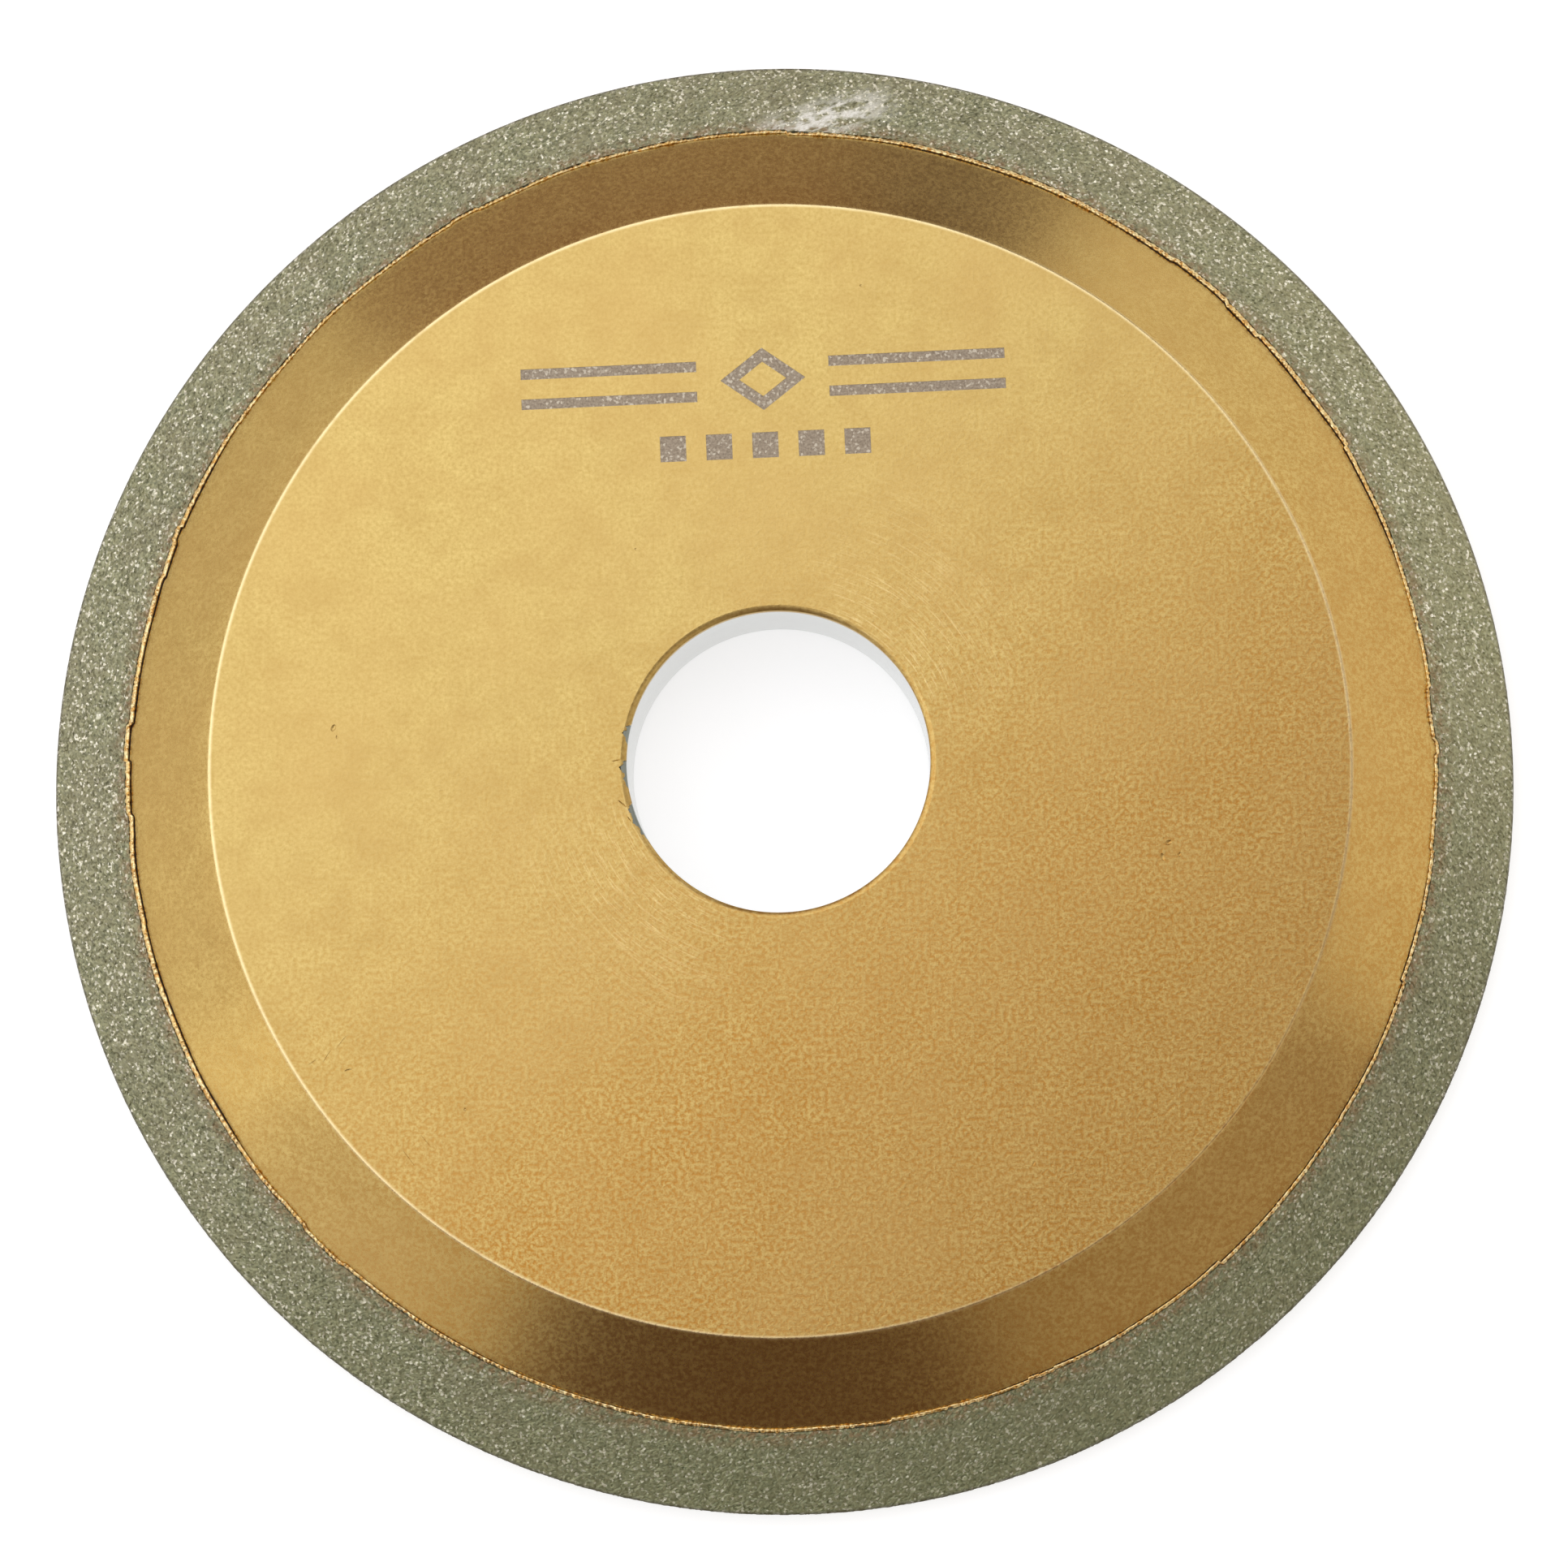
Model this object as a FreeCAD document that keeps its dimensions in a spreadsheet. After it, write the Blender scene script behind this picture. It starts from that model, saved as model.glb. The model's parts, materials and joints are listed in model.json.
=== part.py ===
"""Electroplated diamond grinding wheel with a bevelled working edge.

The steel blank lies flat on its back locating face. The origin is on the bore
axis in the plane of that face, and +Z points out of the lacquered front.
Every coating is a solid of its own, laid face to face on the steel or on the
coat below it. All sizes are in millimetres.
"""

import FreeCAD, Part
import os
import Sketcher

# The driving dimensions: alias, value, meaning.
DIMENSIONS = [
    ("wheel_dia", 125, "outside diameter over the grit"),
    ("bore_dia", 25.4, "bore for the spindle"),
    ("wheel_thickness", 10, "back locating face to lacquered hub face"),
    ("bore_chamfer", 0.6, "chamfer at both ends of the bore, 45 degrees"),
    ("hub_face_dia", 95.5, "flat raised hub face, to its sharp corner"),
    ("hub_edge_radius", 0.9, "rounding of the steel at the hub face's edge"),
    ("cone_angle", 30, "slope of the bevel below the hub face, degrees"),
    ("band_dia", 111.3, "inner diameter of the plated band on the bevel"),
    ("back_band_dia", 106, "inner diameter of the plated band on the back"),
    ("band_recess", 0.5, "depth the back is turned away for the plated band"),
    ("seat_dia", 50, "bare ground locating face on the back"),
    ("back_recess", 0.15, "depth the back is turned away for the lacquer"),
    ("film", 0.1, "thickness of the lacquer"),
    ("bond", 0.15, "thickness of the nickel under the crystals"),
    ("grit", 0.15, "height the crystals stand above the nickel"),
    ("lip_width", 0.4, "width of the build-up beside the plated band"),
    ("lip_rise", 0.1, "height of the build-up above the crystals"),
    ("mark_film", 0.07, "thickness of the mark in the lacquer"),
    ("mark_turn", 2.3, "turn of the mark about the bore axis, degrees"),
    ("mark_radius", 32.6, "bore axis to the mark's upper row"),
    ("lozenge_width", 7.2, "lozenge in the middle of the upper row"),
    ("lozenge_height", 5.4, "height of that lozenge"),
    ("lozenge_window", 0.55, "open middle of the lozenge, as a share of it"),
    ("bar_start", 5.6, "bore axis to the near end of a bar"),
    ("bar_end", 20.5, "bore axis to the far end of a bar"),
    ("bar_height", 0.9, "height of each bar"),
    ("bar_pitch", 2.6, "distance between the two bars of a pair"),
    ("block_radius", 26.9, "bore axis to the mark's lower row"),
    ("block_size", 2.2, "side of each square in the lower row"),
    ("block_pitch", 3.9, "distance between neighbouring squares"),
]
BLOCK_COUNT = 5

# Sizes that follow from the driving ones, as expressions for the sketches.
BORE_R = "Dims.bore_dia / 2"
CHAMFER_R = "(Dims.bore_dia / 2 + Dims.bore_chamfer)"
SEAT_R = "Dims.seat_dia / 2"
HUB_FACE_R = "Dims.hub_face_dia / 2"
HUB_R = "(Dims.hub_face_dia / 2 - Dims.film * tan(Dims.cone_angle / 2))"
BAND_R = "Dims.band_dia / 2"
LIP_R = "(Dims.band_dia / 2 - Dims.lip_width)"
BACK_BAND_R = "Dims.back_band_dia / 2"
BACK_LIP_R = "(Dims.back_band_dia / 2 - Dims.lip_width)"
PLATING = "(Dims.bond + Dims.grit)"
RIM_R = f"(Dims.wheel_dia / 2 - {PLATING})"
BOND_R = f"({RIM_R} + Dims.bond)"
GRIT_R = "(Dims.wheel_dia / 2)"
STEEL_TOP = "(Dims.wheel_thickness - Dims.film)"
BOND_BACK = "(Dims.band_recess - Dims.bond)"
GRIT_BACK = f"(Dims.band_recess - {PLATING})"
FILM_BACK = "(Dims.back_recess - Dims.film)"

CLOSE = 1e-4


def on_bevel(radius, depth="0"):
    """A profile point at this radius, this deep in the coats on the bevel."""
    slope = f"({radius} - {HUB_R}) * tan(Dims.cone_angle)"
    return radius, f"{STEEL_TOP} - {slope} + ({depth}) / cos(Dims.cone_angle)"


def make_sheet(doc):
    """The spreadsheet of driving dimensions, each under its alias."""
    sheet = doc.addObject("Spreadsheet::Sheet", "Dims")
    for row, (alias, value, meaning) in enumerate(DIMENSIONS, start=1):
        sheet.set(f"A{row}", alias)
        sheet.set(f"B{row}", str(value))
        sheet.setAlias(f"B{row}", alias)
        sheet.set(f"C{row}", meaning)
    doc.recompute()
    return sheet


def make_body(doc, name):
    """An empty body whose Label is the sub-part's name."""
    body = doc.addObject("PartDesign::Body", name)
    body.Label = name
    body.AllowCompound = True
    return body


def make_sketch(body, name, plane):
    """A sketch on one of the body's own origin planes."""
    sketch = body.newObject("Sketcher::SketchObject", name)
    support = [f for f in body.Origin.OriginFeatures if f.Role == plane]
    sketch.AttachmentSupport = [(support[0], "")]
    sketch.MapMode = "FlatFace"
    return sketch


def size_of(sketch, expression):
    """The number that an expression over the sheet gives now."""
    return float(sketch.evalExpression(expression))


def add_outline(sketch, corners):
    """A closed outline of straight edges, each corner bound to the sheet."""
    first = sketch.GeometryCount
    count = len(corners)
    points = []
    for across, up in corners:
        x = size_of(sketch, across)
        y = size_of(sketch, up)
        points.append(FreeCAD.Vector(x, y, 0))
    for i in range(count):
        sketch.addGeometry(Part.LineSegment(points[i], points[(i + 1) % count]))
    for i in range(count):
        following = first + (i + 1) % count
        joint = Sketcher.Constraint("Coincident", first + i, 2, following, 1)
        sketch.addConstraint(joint)
    for i, (across, up) in enumerate(corners):
        for kind, value, expression in (
            ("DistanceX", points[i].x, across),
            ("DistanceY", points[i].y, up),
        ):
            distance = Sketcher.Constraint(kind, -1, 1, first + i, 1, value)
            index = sketch.addConstraint(distance)
            sketch.setExpression(f"Constraints[{index}]", expression)


def revolve(body, corners):
    """Turns a half section about the bore axis into a ring or disc."""
    sketch = make_sketch(body, body.Name + "_section", "XZ_Plane")
    add_outline(sketch, corners)
    turned = body.newObject("PartDesign::Revolution", body.Name + "_turned")
    turned.Profile = sketch
    turned.ReferenceAxis = (sketch, ["V_Axis"])
    turned.Angle = 360
    body.Document.recompute()
    return turned


def ring_edges(feature, radius, height):
    """Names of the round edges with this radius at this height."""
    names = []
    for number, edge in enumerate(feature.Shape.Edges, start=1):
        curve = edge.Curve
        if not isinstance(curve, Part.Circle):
            continue
        same_radius = abs(curve.Radius - radius) < CLOSE
        if same_radius and abs(curve.Center.z - height) < CLOSE:
            names.append(f"Edge{number}")
    return names


def round_edge(body, feature, radius, height, rounding):
    """Rounds the round edge at this radius and height."""
    sheet = body.Document.Dims
    at_radius = float(sheet.evalExpression(radius))
    at_height = float(sheet.evalExpression(height))
    edges = ring_edges(feature, at_radius, at_height)
    if not edges:
        raise SystemExit(f"{body.Label}: no edge to round")
    fillet = body.newObject("PartDesign::Fillet", feature.Name + "_rounded")
    fillet.Base = (feature, edges)
    fillet.setExpression("Radius", rounding)
    body.Document.recompute()
    return fillet


def core_disc(doc):
    """The turned steel blank: bore, hub, bevel, rim and stepped back."""
    body = make_body(doc, "core_disc")
    turned = revolve(
        body,
        [
            (BORE_R, "Dims.bore_chamfer"),
            (CHAMFER_R, "0"),
            (SEAT_R, "0"),
            (SEAT_R, "Dims.back_recess"),
            (BACK_BAND_R, "Dims.back_recess"),
            (BACK_BAND_R, "Dims.band_recess"),
            (RIM_R, "Dims.band_recess"),
            on_bevel(RIM_R),
            (HUB_R, STEEL_TOP),
            (CHAMFER_R, STEEL_TOP),
            (BORE_R, f"{STEEL_TOP} - Dims.bore_chamfer"),
        ],
    )
    round_edge(body, turned, HUB_R, STEEL_TOP, "Dims.hub_edge_radius")
    return body


def nickel_bond(doc):
    """The nickel deposit, one shell from the bevel round the rim to the back."""
    body = make_body(doc, "nickel_bond")
    revolve(
        body,
        [
            on_bevel(BAND_R),
            on_bevel(RIM_R),
            (RIM_R, "Dims.band_recess"),
            (BACK_BAND_R, "Dims.band_recess"),
            (BACK_BAND_R, BOND_BACK),
            (BOND_R, BOND_BACK),
            on_bevel(BOND_R, "Dims.bond"),
            on_bevel(BAND_R, "Dims.bond"),
        ],
    )
    return body


def grit_bevel(doc):
    """The diamond crystals on the bevel, the wheel's main cutting surface."""
    body = make_body(doc, "diamond_grit_bevel")
    revolve(
        body,
        [
            on_bevel(BAND_R, "Dims.bond"),
            on_bevel(BOND_R, "Dims.bond"),
            on_bevel(GRIT_R, PLATING),
            on_bevel(BAND_R, PLATING),
        ],
    )
    return body


def grit_rim(doc):
    """The diamond crystals on the narrow cylindrical rim."""
    body = make_body(doc, "diamond_grit_rim")
    revolve(
        body,
        [
            on_bevel(BOND_R, "Dims.bond"),
            (BOND_R, BOND_BACK),
            (GRIT_R, GRIT_BACK),
            on_bevel(GRIT_R, PLATING),
        ],
    )
    return body


def grit_back(doc):
    """The diamond crystals on the back, set in a shallow recess."""
    body = make_body(doc, "diamond_grit_back")
    revolve(
        body,
        [
            (BACK_BAND_R, BOND_BACK),
            (BACK_BAND_R, GRIT_BACK),
            (GRIT_R, GRIT_BACK),
            (BOND_R, BOND_BACK),
        ],
    )
    return body


def lip_bevel(doc):
    """The ridge of nickel that built up where the mask on the bevel ended."""
    body = make_body(doc, "plating_lip_bevel")
    crest = f"{PLATING} + Dims.lip_rise"
    revolve(
        body,
        [
            on_bevel(LIP_R),
            on_bevel(BAND_R),
            on_bevel(BAND_R, PLATING),
            on_bevel(f"({BAND_R} - Dims.lip_width * 0.3)", crest),
            on_bevel(f"({BAND_R} - Dims.lip_width * 0.7)", crest),
            on_bevel(LIP_R, "Dims.film"),
        ],
    )
    return body


def lip_back(doc):
    """The smaller ridge at the inner edge of the plated band on the back."""
    body = make_body(doc, "plating_lip_back")
    crest = "(Dims.back_recess * 0.2)"
    revolve(
        body,
        [
            (BACK_LIP_R, "Dims.back_recess"),
            (BACK_LIP_R, FILM_BACK),
            (f"({BACK_BAND_R} - Dims.lip_width * 0.7)", crest),
            (f"({BACK_BAND_R} - Dims.lip_width * 0.3)", crest),
            (BACK_BAND_R, "Dims.back_recess"),
        ],
    )
    return body


def box_corners(left, right, low, high):
    """The corners of an upright rectangle."""
    return [(left, low), (right, low), (right, high), (left, high)]


def lozenge_corners(share):
    """The corners of a lozenge in the upper row, at a share of full size."""
    half_width = f"(Dims.lozenge_width / 2 * {share})"
    half_height = f"(Dims.lozenge_height / 2 * {share})"
    return [
        (half_width, "Dims.mark_radius"),
        ("0", f"Dims.mark_radius + {half_height}"),
        (f"-{half_width}", "Dims.mark_radius"),
        ("0", f"Dims.mark_radius - {half_height}"),
    ]


def mark_outlines():
    """The plain mark: a lozenge between pairs of bars, and a row of squares."""
    outlines = [lozenge_corners("1"), lozenge_corners("Dims.lozenge_window")]
    for side in ("0.5", "-0.5"):
        middle = f"Dims.mark_radius + Dims.bar_pitch * {side}"
        low = f"{middle} - Dims.bar_height / 2"
        high = f"{middle} + Dims.bar_height / 2"
        outlines.append(box_corners("Dims.bar_start", "Dims.bar_end", low, high))
        outlines.append(box_corners("-Dims.bar_end", "-Dims.bar_start", low, high))
    low = "Dims.block_radius - Dims.block_size / 2"
    high = "Dims.block_radius + Dims.block_size / 2"
    for i in range(BLOCK_COUNT):
        middle = f"Dims.block_pitch * {i - (BLOCK_COUNT - 1) / 2}"
        left = f"{middle} - Dims.block_size / 2"
        right = f"{middle} + Dims.block_size / 2"
        outlines.append(box_corners(left, right, low, high))
    return outlines


def mark_sketch(body, height):
    """The mark's outlines, level with this height on the hub."""
    sketch = make_sketch(body, body.Name + "_mark", "XY_Plane")
    for corners in mark_outlines():
        add_outline(sketch, corners)
    sketch.setExpression("AttachmentOffset.Base.z", height)
    sketch.setExpression("AttachmentOffset.Rotation.Angle", "Dims.mark_turn")
    body.Document.recompute()
    return sketch


def lacquer_front(doc):
    """The gold lacquer over chamfer, hub face and bevel, open at the mark."""
    body = make_body(doc, "lacquer_front")
    film_in_chamfer = f"({CHAMFER_R} + Dims.film * (1 - sqrt(2)))"
    turned = revolve(
        body,
        [
            (BORE_R, f"{STEEL_TOP} - Dims.bore_chamfer"),
            (CHAMFER_R, STEEL_TOP),
            (HUB_R, STEEL_TOP),
            on_bevel(LIP_R),
            on_bevel(LIP_R, "Dims.film"),
            (HUB_FACE_R, "Dims.wheel_thickness"),
            (film_in_chamfer, "Dims.wheel_thickness"),
            (BORE_R, f"{STEEL_TOP} - Dims.bore_chamfer + Dims.film * sqrt(2)"),
        ],
    )
    inner = round_edge(body, turned, HUB_R, STEEL_TOP, "Dims.hub_edge_radius")
    outer_rounding = "Dims.hub_edge_radius + Dims.film"
    round_edge(body, inner, HUB_FACE_R, "Dims.wheel_thickness", outer_rounding)
    uncut = body.Shape.Volume
    opening = body.newObject("PartDesign::Pocket", "lacquer_front_opening")
    opening.Profile = mark_sketch(body, "Dims.wheel_thickness")
    opening.Type = "Length"
    opening.setExpression("Length", "Dims.film")
    doc.recompute()
    if body.Shape.Volume > uncut - CLOSE:
        raise SystemExit("lacquer_front: the mark's opening cuts nothing")
    return body


def lacquer_back(doc):
    """The gold lacquer on the back, between locating face and plated band."""
    body = make_body(doc, "lacquer_back")
    revolve(
        body,
        [
            (SEAT_R, FILM_BACK),
            (BACK_LIP_R, FILM_BACK),
            (BACK_LIP_R, "Dims.back_recess"),
            (SEAT_R, "Dims.back_recess"),
        ],
    )
    return body


def face_mark(doc):
    """The burnt-in mark, which fills the lacquer's openings part way up."""
    body = make_body(doc, "face_mark")
    filled = body.newObject("PartDesign::Pad", "face_mark_filled")
    filled.Profile = mark_sketch(body, STEEL_TOP)
    filled.setExpression("Length", "Dims.mark_film")
    doc.recompute()
    return body


def check(doc, bodies):
    """Stops on a failed object or on a sub-part that isn't a valid solid."""
    for item in doc.Objects:
        if "Invalid" in item.State or "Error" in item.State:
            raise SystemExit(f"{item.Label}: {item.State}")
    for body in bodies:
        shape = body.Shape
        if shape.isNull() or not shape.isValid() or not shape.Solids:
            raise SystemExit(f"{body.Label}: not a valid solid")


def main():
    doc = FreeCAD.newDocument("diamond_wheel")
    make_sheet(doc)
    makers = [
        core_disc,
        nickel_bond,
        grit_bevel,
        grit_rim,
        grit_back,
        lip_bevel,
        lip_back,
        lacquer_front,
        lacquer_back,
        face_mark,
    ]
    bodies = [maker(doc) for maker in makers]
    doc.recompute()
    check(doc, bodies)
    os.makedirs("parts", exist_ok=True)
    for body in bodies:
        body.Shape.exportStep(f"parts/{body.Label}.step")
        count = len(body.Shape.Solids)
        print(f"{body.Label}: {count} solid(s), {body.Shape.Volume:.2f} mm3")


main()
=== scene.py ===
"""Looks of an electroplated diamond grinding wheel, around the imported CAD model.

Everything here is worked out in millimetres on the wheel's own axis and turned
into metres when a mesh is made. Each coat of the wheel is a closed ring whose
section changes from one angle to the next, so that its ragged edges, chips
and crystals are real geometry. Only the mark keeps its CAD mesh.
"""

import json
import math

import bmesh
import bpy
import numpy as np
from mathutils import Matrix, Vector


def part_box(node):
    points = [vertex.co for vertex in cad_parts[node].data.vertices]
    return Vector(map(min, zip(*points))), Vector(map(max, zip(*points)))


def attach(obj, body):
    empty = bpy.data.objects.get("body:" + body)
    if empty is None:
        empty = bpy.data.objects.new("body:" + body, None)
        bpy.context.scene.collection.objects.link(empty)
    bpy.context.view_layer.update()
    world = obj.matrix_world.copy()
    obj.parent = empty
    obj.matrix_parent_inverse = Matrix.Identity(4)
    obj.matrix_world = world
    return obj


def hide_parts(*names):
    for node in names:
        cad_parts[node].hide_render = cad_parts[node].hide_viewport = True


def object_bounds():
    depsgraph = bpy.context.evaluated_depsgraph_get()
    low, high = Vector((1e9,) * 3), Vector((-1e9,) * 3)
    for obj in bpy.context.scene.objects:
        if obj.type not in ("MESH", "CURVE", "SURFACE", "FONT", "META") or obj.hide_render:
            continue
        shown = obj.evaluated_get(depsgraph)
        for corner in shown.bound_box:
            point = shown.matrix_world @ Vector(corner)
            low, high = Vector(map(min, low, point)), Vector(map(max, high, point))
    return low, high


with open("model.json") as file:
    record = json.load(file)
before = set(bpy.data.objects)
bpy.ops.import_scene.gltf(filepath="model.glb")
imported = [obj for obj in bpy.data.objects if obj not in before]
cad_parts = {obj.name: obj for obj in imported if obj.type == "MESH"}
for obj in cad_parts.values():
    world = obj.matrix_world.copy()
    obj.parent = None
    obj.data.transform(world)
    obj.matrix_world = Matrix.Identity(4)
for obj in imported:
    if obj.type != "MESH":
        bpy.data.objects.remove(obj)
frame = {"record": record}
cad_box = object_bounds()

MM = 0.001


def outer_radius(node):
    """Half the larger side of a round node's box, in millimetres."""
    low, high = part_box(node)
    return max(high[0] - low[0], high[1] - low[1]) / 2 / MM


def top_of(node):
    """Height of the top of a node's box, in millimetres."""
    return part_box(node)[1][2] / MM


def bottom_of(node):
    """Height of the bottom of a node's box, in millimetres."""
    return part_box(node)[0][2] / MM


BORE = next(m for m in frame["record"]["mounts"] if m["name"] == "bore")

# Driving sizes, in millimetres: from the frame where it holds them, and
# otherwise the CAD's own dimensions.
INSIDE = 0.02  # the crystals' tips stay this far inside the CAD's outline
WHEEL_R = outer_radius("diamond_grit_rim") - INSIDE
BORE_R = BORE["dims"]["r_mm"]
FACE_Z = top_of("lacquer_front")
STEEL_Z = top_of("core_disc")
FILM = FACE_Z - STEEL_Z
BAND_R = outer_radius("plating_lip_bevel")
BACK_BAND_R = outer_radius("plating_lip_back")
GRIT_BACK_Z = bottom_of("diamond_grit_back")
BOND_BACK_Z = bottom_of("nickel_bond")
BACK_FILM_Z = bottom_of("lacquer_back")
RECESS_Z = top_of("lacquer_back")
GRIT = BOND_BACK_Z - GRIT_BACK_Z
BOND_R = WHEEL_R - GRIT
BOND = 0.15
RIM_R = BOND_R - BOND
BAND_RECESS_Z = BOND_BACK_Z + BOND
CHAMFER = 0.6
CHAMFER_R = BORE_R + CHAMFER
SEAT_R = 25.0
LIP_WIDTH = 0.4
SLOPE = math.radians(30)
HUB_FACE_R = 47.75
HUB_R = HUB_FACE_R - FILM * math.tan(SLOPE / 2)
HUB_EDGE = 0.9
FILM_EDGE = 0.4  # rounding of the lacquer at the hub's edge
BREAK = (0.42, 0.14)  # width and height of the lacquered break at the bore
BEAD = 0.5  # widest the ragged lip gets on the front
EDGE_GAP = 0.08  # from the outermost circle to where a face's crystals end
TUCK = 0.02  # small step from one coat's edge to the next one's
SUNK = 0.06  # how far the crystals' underside sits in the nickel


def bevel_z(radius, depth=0.0):
    """Height of the bevel at this radius, under a coat of this thickness."""
    return STEEL_Z - (radius - HUB_R) * math.tan(SLOPE) + depth / math.cos(SLOPE)


# ---------------------------------------------------------------- randomness


def ring_noise(angles, waves, seed):
    """Smooth noise round the wheel, about -1 to 1, with this many waves."""
    rng = np.random.default_rng(seed)
    total = np.zeros_like(angles)
    for harmonic in range(max(1, waves // 3), waves + 1):
        phase = rng.uniform(0, 2 * math.pi)
        total += rng.normal() * np.cos(harmonic * angles + phase)
    return total / (np.abs(total).max() + 1e-9)


def angles_of(count):
    """This many angles evenly round the wheel."""
    return np.arange(count) * 2 * math.pi / count


def window(angles, start, end, soft=6.0):
    """1 between two angles in degrees, fading to 0 over the soft width."""
    middle = math.radians((start + end) / 2)
    away = np.abs((angles - middle + math.pi) % (2 * math.pi) - math.pi)
    inside = math.radians((end - start) / 2) - away
    return np.clip(inside / math.radians(soft), 0, 1)


# -------------------------------------------------------------------- meshes


def mesh_object(name, points, faces, smooth=True):
    """A mesh piece from points in millimetres and faces of three or four."""
    mesh = bpy.data.meshes.new(name)
    faces = np.asarray(faces, dtype=np.int32)
    sides = faces.shape[1]
    mesh.vertices.add(len(points))
    mesh.vertices.foreach_set("co", (np.asarray(points) * MM).ravel())
    mesh.loops.add(faces.size)
    mesh.loops.foreach_set("vertex_index", faces.ravel())
    mesh.polygons.add(len(faces))
    mesh.polygons.foreach_set("loop_start", np.arange(0, faces.size, sides, dtype=np.int32))
    mesh.polygons.foreach_set("use_smooth", np.full(len(faces), smooth))
    mesh.update(calc_edges=True)
    mesh.validate()
    piece = bpy.data.objects.new(name, mesh)
    bpy.context.scene.collection.objects.link(piece)
    return piece


def round_points(radii, heights, angles):
    """Points from grids of radius and height, sections by angles."""
    x = radii * np.cos(angles)
    y = radii * np.sin(angles)
    return np.stack([x, y, heights], axis=-1).reshape(-1, 3)


def ring_faces(rows, count):
    """Quads of a ring whose section closes on itself."""
    row = np.arange(rows)[:, None]
    column = np.arange(count)[None, :]
    next_row = (row + 1) % rows
    next_column = (column + 1) % count
    quads = np.stack(
        [
            row * count + column,
            row * count + next_column,
            next_row * count + next_column,
            next_row * count + column,
        ],
        axis=-1,
    )
    return quads.reshape(-1, 4)


def closed_ring(name, radii, heights, angles=None, smooth=True):
    """A ring from a closed section, wound so that its faces look outward."""
    rows, count = radii.shape
    angles = angles_of(count)[None, :] if angles is None else angles
    points = round_points(radii, heights, angles)
    return mesh_object(name, points, ring_faces(rows, count), smooth)


def even(section, count):
    """A ring of one constant section: radius and height for each corner."""
    section = np.asarray(section, dtype=float)
    radii = np.repeat(section[:, :1], count, axis=1)
    heights = np.repeat(section[:, 1:], count, axis=1)
    return radii, heights


def arc(centre, radius, start, end, steps):
    """Points of an arc in the section plane, angles in degrees."""
    turn = np.radians(np.linspace(start, end, steps))
    return [(centre[0] + radius * math.cos(a), centre[1] + radius * math.sin(a)) for a in turn]


def sharpen(piece, degrees=35):
    """Keeps edges sharper than this crisp under smooth shading."""
    piece.data.set_sharp_from_angle(angle=math.radians(degrees))


# ----------------------------------------------------------------- materials


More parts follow.
